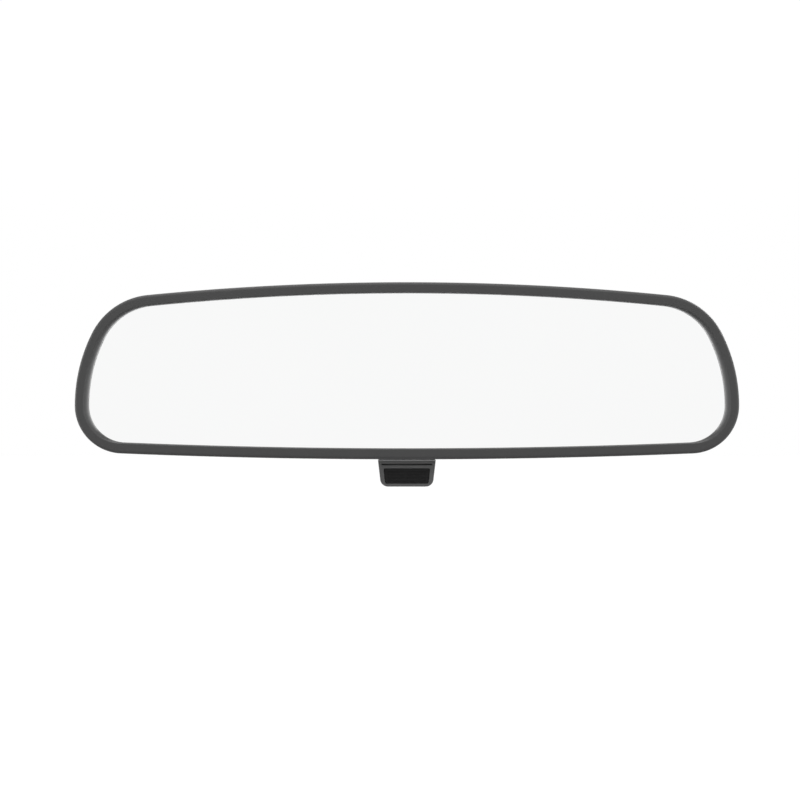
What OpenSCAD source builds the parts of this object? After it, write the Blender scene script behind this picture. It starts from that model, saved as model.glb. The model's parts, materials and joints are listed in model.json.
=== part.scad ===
// Interior day and night rearview mirror, hung from the windscreen by an arm with two ball joints.
// Millimetres. +Z is up, the glass looks along -Y, and +X is to the driver's right.
// The origin is the centre of the face that is bonded to the windscreen.

/* [Mirror head] */

// Width of the bezel across its widest row
mirror_w = 250; // [238:1:262]
// Height of the bezel's crown above the widest row
crown_h = 46.4; // [45.8:0.1:47.2]
// Drop of the bezel's lower edge below the widest row
sill_h = 20.3; // [20.0:0.1:20.8]
// Radius of the long top edge
top_edge_r = 990; // [900:10:1100]
// Radius of the gently curved side edges
side_edge_r = 60.3; // [58:0.1:63]
// Radius of the upper corners
upper_corner_r = 26.2; // [25:0.1:28]
// Radius of the lower corners
lower_corner_r = 18.1; // [17.5:0.1:18.5]
// Width of the bezel's frame around the glass
bezel_border = 4.15; // [3.8:0.05:4.6]
// Depth from the bezel's face to the joint with the rear housing
bezel_depth = 14; // [13.6:0.1:14.4]
// Depth of the rear housing behind that joint, at its middle
dome_depth = 16; // [15:0.1:17]
// Wall thickness of the bezel and the rear housing
wall = 2.2; // [1.8:0.1:2.4]

/* [Glass] */

// Thickness of the prism glass at the level of its lower edge
glass_low = 2.4; // [2.2:0.1:2.8]
// Thickness of the prism glass at the level of its upper edge
glass_high = 6.0; // [5:0.1:6.4]

/* [Day and night mechanism] */

// Angle that the head tilts through between day and night
tilt_range = 5; // [4:0.5:5]
// Angle that the lever turns through in the same movement
lever_range = 35; // [30:1:38]
// Depth of the tilt axis behind the bezel's face
tilt_y = 15; // [14.5:0.1:15.5]
// Height of the tilt axis above the widest row
tilt_z = 32; // [31:0.5:33]
// Depth of the lever's pivot behind the bezel's face
pivot_y = 14; // [13.8:0.1:14.2]
// Depth of the lever's pivot below the widest row
pivot_drop = 14; // [13.8:0.1:14.2]
// Radius of the hinge rod and of the lever's pivot pin
pin_r = 1.5; // [1.4:0.05:1.6]

/* [Arm and ball joints] */

// Distance between the two ball centres
arm_length = 52; // [48:1:60]
// Angle that the arm drops by from the windscreen to the head
arm_drop = 0; // [-2:1:4]
// Angle that the upper ball's stud leans by below the horizontal
base_stud_lean = 18; // [16:1:22]
// Angle that the mirror's stud drops by on its way into the head
head_stud_drop = 8; // [6:1:10]
// Radius of both balls
ball_r = 7.5; // [7.3:0.05:7.6]
// Wall thickness of the arm's tube
tube_wall = 1.5; // [1.2:0.1:1.8]
// Radial clearance of the parts that turn on each other
running_gap = 0.05; // [0.03:0.01:0.08]

/* [Windscreen mount] */

// Angle of the windscreen above the horizontal
screen_angle = 45; // [42:1:48]
// Distance from the windscreen to the upper ball's centre
ball_drop = 24; // [23:0.5:27]
// Length of the wedge button
button_length = 32; // [30:0.5:33]
// Half width of the button's bonded face at its upper end
button_half = 9.6; // [9:0.1:10]
// Thickness of the button
button_t = 4.6; // [4.2:0.1:5]

/* [Hidden] */

$fn = 64;
overlap = 0.01;
half_w = mirror_w / 2;
sill_edge_r = (lower_corner_r^2 - sill_h^2 - (half_w - lower_corner_r)^2) / (2 * (lower_corner_r - sill_h));
side_x = half_w - side_edge_r;
arc_gap = side_edge_r - upper_corner_r;
crown_c = top_edge_r - crown_h;
crown_k = ((top_edge_r - upper_corner_r)^2 - side_x^2 - crown_c^2 - arc_gap^2) / (2 * arc_gap);
side_sweep = atan2(crown_c, side_x) - acos(crown_k / norm([side_x, crown_c]));
upper_x = side_x + arc_gap * cos(side_sweep);
upper_z = arc_gap * sin(side_sweep);
sill_start = atan2(sill_h - sill_edge_r, half_w - lower_corner_r);
crown_end = atan2(upper_z + crown_c, upper_x);
dome_mid_z = 13;
end_flatten = 0.42;
glass_y = 2.25;
wedge_z0 = -18;
wedge_span = 62;
wedge_angle = atan((glass_high - glass_low) / wedge_span);
glass_mid = glass_low - wedge_z0 * tan(wedge_angle);
pivot_z = -pivot_drop;
crank_half = (tilt_range + lever_range) / 2;
crank_r = (tilt_z - pivot_z) * sin(tilt_range) / (2 * sin(crank_half));
crank_y = pivot_y - crank_r * sin(crank_half);
crank_z = pivot_z + crank_r * cos(crank_half);
crank_pin_r = 1.1;
hub_r = 3;
ring_in = ball_r + running_gap;
ring_out = ball_r + 0.75;
tube_in = ring_out + running_gap;
tube_out = tube_in + tube_wall;
mouth = 5.4;
cup_start = 2.6;
cup_back = 13;
screen_n = [0, sin(screen_angle), cos(screen_angle)];
arm_dir = [0, -cos(arm_drop), -sin(arm_drop)];
ball_1 = -ball_drop * screen_n;
ball_2 = ball_1 + arm_length * arm_dir;
ball_back = 44;
ball_up = 14;
head_at = ball_2 - [0, ball_back, ball_up];
screw_at = 13.4;
stud_seat = 22;
boss_len = 5.5;
neck_r = 2.5;
thread_r = 2.5;
thread_gap = 0.03;
carrier_y = 18.5;
carrier_t = 3;
port_z = 12.2;
port_r = 11;
port_seat_r = 13;
port_seat_y = 29.8;
port_rim_r = 15.5;
bumper_x = 14;
bumper_z = 6;
detent_z = -1.8;
tab_y = 11.2;
tab_t = 5.2;
panel_depth = 1;
post_spots = [[-96, 8], [-58, 27], [-58, 0], [58, 27], [58, 0], [96, 8]];

// ---- shapes that several pieces share ----

// Points along an arc, without its last one
function arc(cx, cz, r, a0, a1, n) =
    [for (i = [0 : n - 1]) let (t = a0 + (a1 - a0) * i / n) [cx + r * cos(t), cz + r * sin(t)]];

// Right half of the head's outline, from the middle of the sill up to the crown
function half_outline(d) = concat(
    arc(0, sill_edge_r - sill_h, sill_edge_r - d, -90, sill_start, 3),
    arc(half_w - lower_corner_r, 0, lower_corner_r - d, sill_start, 0, 8),
    arc(side_x, 0, side_edge_r - d, 0, side_sweep, 4),
    arc(upper_x, upper_z, upper_corner_r - d, side_sweep, crown_end, 8),
    arc(0, -crown_c, top_edge_r - d, crown_end, 90, 6),
    [[0, crown_h - d]]);

// Whole outline, set in by d
function outline(d) = let (h = half_outline(d))
    concat(h, [for (i = [len(h) - 2 : -1 : 1]) [-h[i].x, h[i].y]]);

// The outline at depth y, with its width scaled by k
function ring(d, y, k = 1) = [for (p = outline(d)) [p.x * k, y, p.y]];

// One ring of the domed back: t runs from 0 at the joint to 1 at the middle
function dome_ring(d, t, inner) = [for (p = outline(d))
    let (s = pow(cos(90 * t), 0.62), x = p.x * s,
        deep = dome_depth * (1 - end_flatten * pow(x / half_w, 2)) - inner)
    [x, bezel_depth + deep * pow(sin(90 * t), 0.8), dome_mid_z + (p.y - dome_mid_z) * s]];

// Solid through a list of rings, closed at both ends
module loft(rings) {
    n = len(rings[0]);
    m = len(rings);
    first = rings[0];
    last = rings[m - 1];
    front = [0, first[0].y, dome_mid_z];
    back = [0, last[0].y + 0.01, dome_mid_z];
    points = concat([for (r = rings) each r], [front, back]);
    sides = [for (k = [0 : m - 2], i = [0 : n - 1]) let (j = (i + 1) % n)
        each [[k * n + i, k * n + j, (k + 1) * n + j], [k * n + i, (k + 1) * n + j, (k + 1) * n + i]]];
    ends = [for (i = [0 : n - 1]) let (j = (i + 1) % n)
        each [[i, m * n, j], [(m - 1) * n + i, (m - 1) * n + j, m * n + 1]]];
    polyhedron(points, concat(sides, ends));
}

// Slab of the outline between two depths
module slab(y0, y1, d) {
    translate([0, y1, 0])
        rotate([90, 0, 0])
            linear_extrude(y1 - y0)
                polygon(outline(d));
}

// Everything behind the prism glass, starting a gap away from it
module behind_glass(gap) {
    translate([0, glass_y + glass_mid + gap, 0])
        rotate([-wedge_angle, 0, 0])
            translate([-150, 0, -80])
                cube([300, 30, 160]);
}

// Rod along X, centred, at a depth and height
module x_rod(r, length, y, z) {
    translate([-length / 2, y, z])
        rotate([0, 90, 0])
            cylinder(r = r, h = length);
}

// Rod along Y between two depths
module y_rod(r, x, z, y0, y1) {
    translate([x, y1, z])
        rotate([90, 0, 0])
            cylinder(r = r, h = y1 - y0);
}

// Profile in depth and height, extruded from x0 to x1 and again on the other side
module side_pair(x0, x1, points) {
    for (m = [0, 1])
        mirror([m, 0, 0])
            translate([x0, 0, 0])
                rotate([90, 0, 90])
                    linear_extrude(x1 - x0)
                        polygon(points);
}

// Places the mirror head's pieces
module in_head() {
    translate(head_at)
        children();
}

// Places pieces of the windscreen mount: local +Z is out through the glass
module on_screen() {
    rotate([-screen_angle, 0, 0])
        children();
}

// Places pieces along a line that drops by an angle: local +Z runs towards the driver
module along(from, drop) {
    translate(from)
        rotate([90 + drop, 0, 0])
            children();
}

// Places pieces of the arm: local +Z runs from the upper ball to the lower one
module along_arm(from) {
    along(from, arm_drop)
        children();
}

// Rectangle with round corners, centred
module round_rect(w, h, r) {
    union() {
        square([w - 2 * r, h], center = true);
        square([w, h - 2 * r], center = true);
        for (x = [-1, 1], y = [-1, 1])
            translate([x * (w / 2 - r), y * (h / 2 - r)])
                circle(r = r);
    }
}

// Hexagon across its flats
module hex_bar(flats, h) {
    cylinder(r = flats / sqrt(3), h = h, $fn = 6);
}

// Wedge with undercut sides, grown by g and lengthened downwards by more
module wedge(g, more) {
    top = button_half + g;
    low = button_half + 0.9 + g + more * 0.9 / button_length;
    cut = 0.9;
    y0 = -button_length / 2 - g;
    y1 = button_length / 2 + more;
    polyhedron(
        [[-top, y0, 0], [top, y0, 0], [low, y1, 0], [-low, y1, 0],
            [-top - cut, y0, -button_t - g], [top + cut, y0, -button_t - g],
            [low + cut, y1, -button_t - g], [-low - cut, y1, -button_t - g]],
        [[3, 2, 1, 0], [4, 5, 6, 7], [0, 1, 5, 4], [1, 2, 6, 5], [2, 3, 7, 6], [3, 0, 4, 7]]);
}

// ---- windscreen mount ----

module mount_button() {
    color([0.62, 0.63, 0.65])
        on_screen()
            wedge(0, 0);
}

module mount_base() {
    color([0.09, 0.09, 0.10])
        difference() {
            union() {
                on_screen()
                    hull() {
                        translate([0, 0.5, -5.2])
                            linear_extrude(4)
                                round_rect(30, 41, 6);
                        translate([0, 0.8, -12.4])
                            linear_extrude(1.5)
                                round_rect(23, 35.4, 7);
                    }
                along(ball_1, base_stud_lean)
                    translate([0, 0, -17])
                        cylinder(r1 = 7.4, r2 = 5.4, h = 6);
            }
            on_screen()
                wedge(0.12, 12);
            on_screen()
                translate([0, screw_at, -14])
                    cylinder(r = thread_r + thread_gap, h = 11);
            along(ball_1, base_stud_lean)
                translate([0, 0, -16.8])
                    cylinder(r = 3.04, h = 7);
        }
}

module set_screw() {
    color([0.30, 0.31, 0.33])
        on_screen()
            translate([0, screw_at, -12.2])
                difference() {
                    union() {
                        cylinder(r = thread_r, h = 6.6);
                        translate([0, 0, 6.6 - overlap])
                            cylinder(r1 = thread_r, r2 = 1.6, h = 0.8);
                    }
                    translate([0, 0, -1])
                        hex_bar(2.5, 3.8);
                }
}

module base_ball_stud() {
    color([0.70, 0.71, 0.73])
        along(ball_1, base_stud_lean)
            union() {
                sphere(r = ball_r);
                translate([0, 0, -16.6])
                    cylinder(r = 3, h = 6);
                translate([0, 0, -11])
                    cylinder(r = 4.5, h = 1.1);
                translate([0, 0, -10])
                    cylinder(r = neck_r, h = 5);
            }
}

// ---- arm ----

// Part of a round profile between two heights
module zone(y0, y1) {
    intersection() {
        translate([0, y0])
            square([30, y1 - y0]);
        children();
    }
}

module friction_ring() {
    rotate_extrude()
        zone(-2.7, -0.3)
            difference() {
                circle(r = ring_out);
                circle(r = ring_in);
            }
}

module seat_cup() {
    rotate_extrude()
        difference() {
            union() {
                translate([0, cup_start])
                    square([ring_out - 0.03, cup_back - cup_start]);
                square([4, cup_back + 2]);
            }
            circle(r = ring_in);
        }
}

module upper_friction_ring() {
    color([0.85, 0.84, 0.80])
        along_arm(ball_1)
            friction_ring();
}

module arm_tube() {
    color([0.10, 0.10, 0.11])
        along_arm(ball_1)
            rotate_extrude()
                zone(-mouth, arm_length + mouth)
                    difference() {
                        union() {
                            circle(r = tube_out);
                            square([tube_out, arm_length]);
                            translate([0, arm_length])
                                circle(r = tube_out);
                        }
                        circle(r = tube_in);
                        square([tube_in, arm_length]);
                        translate([0, arm_length])
                            circle(r = tube_in);
                    }
}

module upper_seat_cup() {
    color([0.80, 0.79, 0.74])
        along_arm(ball_1)
            seat_cup();
}

// Points of one ring of the coil's wire, at angle a along the coil
function wire_ring(a, r, coil_r, z) = [for (i = [0 : 7]) let (b = 45 * i, q = coil_r + r * cos(b))
    [q * cos(a), q * sin(a), z + r * sin(b)]];

module arm_spring() {
    turns = 6;
    steps = turns * 20;
    wire = 0.9;
    low = cup_back + wire + 0.1;
    rise = arm_length - 2 * low;
    points = [for (k = [0 : steps])
        each wire_ring(360 * turns * k / steps, wire, 5.7, low + rise * k / steps)];
    sides = [for (k = [0 : steps - 1], i = [0 : 7]) let (j = (i + 1) % 8, p = k * 8, q = k * 8 + 8)
        each [[p + i, p + j, q + j], [p + i, q + j, q + i]]];
    color([0.55, 0.56, 0.58])
        along_arm(ball_1)
            polyhedron(points, concat(
                sides,
                [[7, 6, 5, 4, 3, 2, 1, 0]],
                [[for (i = [0 : 7]) steps * 8 + i]]));
}

module lower_seat_cup() {
    color([0.80, 0.79, 0.74])
        along_arm(ball_2)
            mirror([0, 0, 1])
                seat_cup();
}

module lower_friction_ring() {
    color([0.85, 0.84, 0.80])
        along_arm(ball_2)
            mirror([0, 0, 1])
                friction_ring();
}

// ---- carrier that the head tilts on ----

module mirror_ball_stud() {
    color([0.70, 0.71, 0.73])
        along(ball_2, head_stud_drop)
            union() {
                sphere(r = ball_r);
                translate([0, 0, 5])
                    cylinder(r = neck_r, h = 6);
                translate([0, 0, 11 - overlap])
                    cylinder(r1 = neck_r, r2 = 3.6, h = 7.02);
                translate([0, 0, 18])
                    hex_bar(9, stud_seat - 18);
                translate([0, 0, stud_seat - overlap])
                    cylinder(r = thread_r, h = boss_len + 5.8);
            }
}

module stud_washer() {
    color([0.66, 0.67, 0.69])
        along(ball_2, head_stud_drop)
            translate([0, 0, stud_seat + boss_len + 0.02])
                difference() {
                    cylinder(r = 4.9, h = 0.8);
                    translate([0, 0, -1])
                        cylinder(r = 2.65, h = 3);
                }
}

module stud_nut() {
    color([0.66, 0.67, 0.69])
        along(ball_2, head_stud_drop)
            translate([0, 0, stud_seat + boss_len + 0.84])
                difference() {
                    hex_bar(8, 4);
                    translate([0, 0, -1])
                        cylinder(r = thread_r + thread_gap, h = 6);
                }
}

module pivot_carrier() {
    back = carrier_y + carrier_t;
    rise = [[carrier_y, 3], [back, 3], [back, 27], [18.4, tilt_z + 2], [tilt_y, tilt_z + 2],
        [tilt_y, tilt_z - 3], [carrier_y, 24]];
    fork = [[crank_y - 2.9, -10.1], [crank_y - 2.9, -4.5], [13.4, 0.5], [18.6, 4], [18.6, 8],
        [back, 8], [back, 2], [crank_y + 2.9, -5.2], [crank_y + 2.9, -10.1]];
    color([0.16, 0.16, 0.17])
        in_head()
            difference() {
                union() {
                    translate([-17, carrier_y, 3])
                        cube([34, carrier_t, 24]);
                    side_pair(13.6, 17, rise);
                    side_pair(5.6, 8, fork);
                    x_rod(3.5, 37, tilt_y, tilt_z);
                    along([0, ball_back, ball_up], head_stud_drop)
                        translate([0, 0, stud_seat])
                            cylinder(r = 6.5, h = boss_len);
                }
                along([0, ball_back, ball_up], head_stud_drop)
                    translate([0, 0, stud_seat - 4])
                        cylinder(r = thread_r + thread_gap, h = boss_len + 8);
                x_rod(pin_r + running_gap, 60, tilt_y, tilt_z);
                translate([-12, crank_y - crank_pin_r - 0.12, -14])
                    cube([24, 2 * crank_pin_r + 0.24, 14 + crank_z + 2.2]);
            }
}

// ---- mirror head ----

// Opening under the head that the lever's stem swings in, cut up to a height
module lever_slot(top) {
    translate([-11.6, 5, -30])
        cube([23.2, 13.4, 30 + top]);
}

module rear_housing() {
    steps = [0, 0.05, 0.12, 0.21, 0.32, 0.45, 0.59, 0.73, 0.86, 0.95];
    ear = [[11, tilt_z - 4], [11, tilt_z + 4], [31, tilt_z + 4], [31, tilt_z - 4]];
    foot = [[pivot_y - 3.4, -17.9], [pivot_y - 3.4, pivot_z + 3.4], [pivot_y + 8, pivot_z + 3.4],
        [pivot_y + 12, -16], [pivot_y + 12, -22], [pivot_y + 2.3, -22], [pivot_y + 2.3, -17.9]];
    color([0.10, 0.10, 0.11])
        in_head()
            difference() {
                union() {
                    difference() {
                        loft([for (t = steps) dome_ring(0, t, 0)]);
                        loft(concat(
                            [ring(wall / 2, bezel_depth - 1), ring(wall / 2, bezel_depth + 2.1),
                                ring(wall, bezel_depth + 2.11)],
                            [for (t = steps) if (t > 0.1) dome_ring(wall, t, wall)]));
                    }
                    intersection() {
                        loft(concat([ring(wall + 0.2, 4), ring(wall + 0.2, bezel_depth - overlap)],
                            [for (t = steps) if (t > 0) dome_ring(0.3, t, 0.3)]));
                        union() {
                            side_pair(19.2, 22.2, ear);
                            side_pair(10.6, 13.2, foot);
                            y_rod(3.2, 0, detent_z, 18.6, 40);
                            for (x = [-bumper_x, bumper_x])
                                y_rod(3.4, x, bumper_z, 26.25, 40);
                            for (p = post_spots)
                                y_rod(3.5, p.x, p.y, 11.5, 40);
                        }
                    }
                    y_rod(port_rim_r, 0, port_z, 27, 31);
                }
                y_rod(port_r, 0, port_z, 20, 40);
                y_rod(port_seat_r, 0, port_z, port_seat_y, 40);
                x_rod(pin_r + 0.02, 60, tilt_y, tilt_z);
                x_rod(pin_r + 0.02, 60, pivot_y, pivot_z);
                y_rod(1, 0, detent_z, 10, 24);
                lever_slot(-17.8);
            }
}

module front_bezel() {
    color([0.075, 0.075, 0.08])
        in_head()
            difference() {
                union() {
                    loft([ring(1.3, 0), ring(0.75, 0.17), ring(0.35, 0.45), ring(0.1, 0.85),
                        ring(0, 1.3), ring(0, bezel_depth)]);
                    slab(bezel_depth - 1, bezel_depth + 2, wall / 2 + 0.1);
                }
                slab(2.2, bezel_depth + 3, wall);
                loft([ring(3.85, -0.2, 1.006), ring(3.85, 0, 1.006),
                    ring(bezel_border, 1.4, 0.992), ring(bezel_border, 3, 0.992)]);
                lever_slot(-17.4);
            }
}

module prism_glass() {
    color([0.80, 0.85, 0.86, 0.5])
        in_head()
            difference() {
                slab(glass_y, 12, wall + 0.3);
                behind_glass(0);
            }
}

module reflective_backing() {
    color([0.90, 0.91, 0.92])
        in_head()
            difference() {
                intersection() {
                    slab(glass_y + 0.5, 12, wall + 0.8);
                    behind_glass(0.02);
                }
                behind_glass(0.4);
            }
}

module glass_cushions() {
    color([0.20, 0.20, 0.20])
        in_head()
            intersection() {
                union() {
                    for (p = post_spots)
                        y_rod(4.5, p.x, p.y, 3, 11.45);
                }
                behind_glass(0.45);
            }
}

module hinge_rod() {
    color([0.68, 0.69, 0.71])
        in_head()
            x_rod(pin_r, 49, tilt_y, tilt_z);
}

module rod_clips() {
    color([0.60, 0.61, 0.63])
        in_head()
            difference() {
                for (x = [-22.8, 22.8])
                    translate([x, 0, 0])
                        x_rod(3.2, 0.8, tilt_y, tilt_z);
                x_rod(pin_r + 0.02, 60, tilt_y, tilt_z);
            }
}

module lever_pivot_pin() {
    color([0.68, 0.69, 0.71])
        in_head()
            x_rod(pin_r, 27.4, pivot_y, pivot_z);
}

module detent_spring() {
    color([0.72, 0.72, 0.70])
        in_head()
            difference() {
                translate([-4, 18.15, -16])
                    cube([8, 0.4, 17.2]);
                y_rod(1.3, 0, detent_z, 10, 24);
            }
}

module detent_screw() {
    color([0.66, 0.67, 0.69])
        in_head()
            difference() {
                union() {
                    y_rod(2.1, 0, detent_z, 16.6, 18.12);
                    y_rod(0.97, 0, detent_z, 17, 23.5);
                }
                translate([0, 17.3, detent_z])
                    rotate([90, 0, 0])
                        hex_bar(1.6, 2);
            }
}

module port_ring() {
    color([0.12, 0.12, 0.13])
        in_head()
            difference() {
                y_rod(port_seat_r - 0.05, 0, port_z, port_seat_y + 0.03, 31.4);
                y_rod(10.2, 0, port_z, 20, 40);
            }
}

module stop_bumpers() {
    color([0.15, 0.15, 0.15])
        in_head()
            for (x = [-bumper_x, bumper_x])
                y_rod(2.8, x, bumper_z, 24.75, 26.23);
}

// ---- day and night lever ----

// Front shape of the finger tab: sides that lean in downwards, and round lower corners
function tab_shape() =
    let (lean = 6.7, r = 3, cx = 10.23 - r / cos(lean), cz = -31.05 + r,
        right = concat(arc(cx, cz, r, -90, -lean, 6),
            [[cx + r * cos(lean), cz - r * sin(lean)], [11.1, -20.7]]))
    concat(right, [for (i = [len(right) - 1 : -1 : 0]) [-right[i].x, right[i].y]]);

// Sunk panel in the tab's face, set in by d
function panel_shape(d) = [[8.85 - d, -24.1 - d], [8.45 - d, -28.8], [7.45 - d, -29.8 + d],
    [-7.45 + d, -29.8 + d], [-8.45 + d, -28.8], [-8.85 + d, -24.1 - d]];

module day_night_lever() {
    stem = [[pivot_y - 2, pivot_z], [pivot_y + 2, pivot_z], [pivot_y + 2.4, -21.2],
        [pivot_y - 2.6, -21.2]];
    color([0.08, 0.08, 0.085])
        in_head()
            difference() {
                union() {
                    translate([0, tab_y + tab_t, 0])
                        rotate([90, 0, 0])
                            linear_extrude(tab_t)
                                polygon(tab_shape());
                    side_pair(0, 9, stem);
                    x_rod(hub_r, 19.8, pivot_y, pivot_z);
                    side_pair(1.8, 5, [
                        [pivot_y - 2.2, pivot_z], [pivot_y + 2.2, pivot_z],
                        [crank_y + 2.2, crank_z], [crank_y - 2.2, crank_z]]);
                    for (x = [-3.4, 3.4])
                        translate([x, 0, 0])
                            x_rod(2.3, 3.2, crank_y, crank_z);
                    intersection() {
                        x_rod(4.5, 10, pivot_y, pivot_z);
                        translate([-6, pivot_y, pivot_z - 6])
                            cube([12, 4.05, 12]);
                        translate([0, pivot_y, pivot_z])
                            rotate([lever_range, 0, 0])
                                translate([-6, -6, -6])
                                    cube([12, 10.05, 12]);
                    }
                }
                x_rod(pin_r + running_gap, 40, pivot_y, pivot_z);
                x_rod(crank_pin_r + 0.02, 40, crank_y, crank_z);
                translate([-1.8, crank_y - 4, pivot_z + hub_r + 0.2])
                    cube([3.6, 8, 12]);
                translate([-9.7, 10, -22.88])
                    cube([19.4, 2.6, 0.6]);
                translate([0, tab_y + panel_depth, 0])
                    rotate([90, 0, 0])
                        linear_extrude(3)
                            polygon(panel_shape(0));
                side_pair(0, 12, [[11.1, -21.2], [11.75, -20.6], [11.1, -20.6]]);
            }
}

module crank_pin() {
    color([0.70, 0.71, 0.73])
        in_head()
            x_rod(crank_pin_r, 17.2, crank_y, crank_z);
}

module lever_grip_pad() {
    color([0.05, 0.05, 0.05])
        in_head()
            difference() {
                translate([0, tab_y + panel_depth - 0.02, 0])
                    rotate([90, 0, 0])
                        linear_extrude(0.58)
                            polygon(panel_shape(0.05));
                for (i = [0 : 3])
                    translate([-7.4, 11.4, -29.1 + 1.15 * i])
                        cube([14.8, 0.45, 0.45]);
            }
}

mount_button();
mount_base();
set_screw();
base_ball_stud();
upper_friction_ring();
arm_tube();
upper_seat_cup();
arm_spring();
lower_seat_cup();
lower_friction_ring();
mirror_ball_stud();
stud_washer();
stud_nut();
pivot_carrier();
rear_housing();
front_bezel();
prism_glass();
reflective_backing();
glass_cushions();
hinge_rod();
rod_clips();
lever_pivot_pin();
detent_spring();
detent_screw();
port_ring();
stop_bumpers();
day_night_lever();
crank_pin();
lever_grip_pad();
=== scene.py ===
"""Looks of the interior rearview mirror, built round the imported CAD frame.

Lengths are millimetres until MM turns them into metres.
"""

import json
import math

import bmesh
import bpy
import numpy as np
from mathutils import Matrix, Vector


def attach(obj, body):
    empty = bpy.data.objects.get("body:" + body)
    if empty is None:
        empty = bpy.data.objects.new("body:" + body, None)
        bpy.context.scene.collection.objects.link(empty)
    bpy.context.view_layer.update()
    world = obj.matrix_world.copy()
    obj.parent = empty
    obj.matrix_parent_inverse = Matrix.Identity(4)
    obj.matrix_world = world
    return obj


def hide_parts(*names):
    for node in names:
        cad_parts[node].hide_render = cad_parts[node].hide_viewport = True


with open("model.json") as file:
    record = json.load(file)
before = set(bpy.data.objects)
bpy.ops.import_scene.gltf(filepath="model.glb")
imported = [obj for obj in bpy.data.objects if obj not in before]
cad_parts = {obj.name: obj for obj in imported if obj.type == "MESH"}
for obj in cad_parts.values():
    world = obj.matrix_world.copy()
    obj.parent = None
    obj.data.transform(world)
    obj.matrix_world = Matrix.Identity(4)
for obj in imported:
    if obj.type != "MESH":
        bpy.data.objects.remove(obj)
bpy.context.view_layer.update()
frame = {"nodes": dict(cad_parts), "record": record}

MM = 0.001

# ---- the driving sizes, the same as the CAD part's ----
HALF_W, CROWN, SILL = 125.0, 46.4, 20.3
TOP_R, SIDE_R, UPPER_R, LOWER_R = 990.0, 60.3, 26.2, 18.1
BORDER, DEPTH, DOME, WALL = 4.15, 14.0, 16.0, 2.2
DOME_Z, FLATTEN = 13.0, 0.42
GLASS_Y, GLASS_LOW, GLASS_HIGH, WEDGE_Z, WEDGE_SPAN = 2.25, 2.4, 6.0, -18.0, 62.0
PIVOT_Y, PIVOT_Z, TILT_Z = 14.0, -14.0, 32.0
ARM, BALL, DROP, SCREEN = 52.0, 7.5, 24.0, 45.0
BASE_LEAN, HEAD_DROP, BALL_BACK, BALL_UP = 18.0, 8.0, 44.0, 14.0
FLIP, NIGHT = 35.0, 5.0
PORT_Z = 12.2
POSTS = [(-96, 8), (-58, 27), (-58, 0), (58, 27), (58, 0), (96, 8)]

screen_n = np.array([0, math.sin(math.radians(SCREEN)), math.cos(math.radians(SCREEN))])
ball_1 = -DROP * screen_n
ball_2 = ball_1 + np.array([0, -ARM, 0])
HEAD = ball_2 - np.array([0, BALL_BACK, BALL_UP])


# ---- outline of the head ----


def arc(cx, cz, r, a0, a1, n):
    """Points along an arc between two angles in degrees, without its last point."""
    t = np.radians(np.linspace(a0, a1, n + 1)[:-1])
    return np.stack([cx + r * np.cos(t), cz + r * np.sin(t)], 1)


sill_r = (LOWER_R**2 - SILL**2 - (HALF_W - LOWER_R) ** 2) / (2 * (LOWER_R - SILL))
side_x, arc_gap, crown_c = HALF_W - SIDE_R, SIDE_R - UPPER_R, TOP_R - CROWN
crown_k = ((TOP_R - UPPER_R) ** 2 - side_x**2 - crown_c**2 - arc_gap**2) / (2 * arc_gap)
crown_turn = math.acos(crown_k / math.hypot(side_x, crown_c))
sweep_a = math.degrees(math.atan2(crown_c, side_x) - crown_turn)
upper_x = side_x + arc_gap * math.cos(math.radians(sweep_a))
upper_z = arc_gap * math.sin(math.radians(sweep_a))
sill_a = math.degrees(math.atan2(SILL - sill_r, HALF_W - LOWER_R))
crown_a = math.degrees(math.atan2(upper_z + crown_c, upper_x))


def outline(d, dense=1.0):
    """Closed outline of the head set in by d, from mid-sill, counter-clockwise as the driver sees it."""

    def steps(n):
        return max(2, int(round(n * dense)))

    half = np.concatenate(
        [
            arc(0, sill_r - SILL, sill_r - d, -90, sill_a, steps(30)),
            arc(HALF_W - LOWER_R, 0, LOWER_R - d, sill_a, 0, steps(26)),
            arc(side_x, 0, SIDE_R - d, 0, sweep_a, steps(14)),
            arc(upper_x, upper_z, UPPER_R - d, sweep_a, crown_a, steps(26)),
            arc(0, -crown_c, TOP_R - d, crown_a, 90, steps(34)),
            [[0, CROWN - d]],
        ]
    )
    return np.concatenate([half, half[-2:0:-1] * [-1, 1]])


# ---- mesh helpers ----

# an edge that turns by more than SHARP degrees stays sharp; points within WELD metres are merged
SHARP, WELD = 32, 1e-7


def fillet(points, closed, n=5):
    """Rounds the corners of a path. Each point is (coordinates, radius)."""
    out, count = [], len(points)
    for i, (p, r) in enumerate(points):
        p = np.array(p, float)
        if r <= 0 or (not closed and i in (0, count - 1)):
            out.append(p)
            continue
        a = np.array(points[(i - 1) % count][0], float) - p
        b = np.array(points[(i + 1) % count][0], float) - p
        length_a, length_b = np.linalg.norm(a), np.linalg.norm(b)
        a, b = a / length_a, b / length_b
        angle = math.acos(max(-1, min(1, float(a @ b))))
        if angle > math.pi - 0.02:
            out.append(p)
            continue
        trim = min(r / math.tan(angle / 2), 0.48 * length_a, 0.48 * length_b)
        radius = trim * math.tan(angle / 2)
        mid = (a + b) / np.linalg.norm(a + b)
        centre = p + mid * (radius / math.sin(angle / 2))
        u, v = p + a * trim - centre, p + b * trim - centre
        turn = math.pi - angle
        for k in range(n + 1):
            f = k / n
            out.append(centre + (math.sin((1 - f) * turn) * u + math.sin(f * turn) * v) / math.sin(turn))
    return out


def finish_mesh(mesh):
    """Smooth shading with the sharp edges kept."""
    mesh.update()
    mesh.shade_smooth()
    mesh.set_sharp_from_angle(angle=math.radians(SHARP))


def new_object(name, mesh):
    """Puts a mesh into the scene."""
    obj = bpy.data.objects.new(name, mesh)
    bpy.context.scene.collection.objects.link(obj)
    return obj


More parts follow.
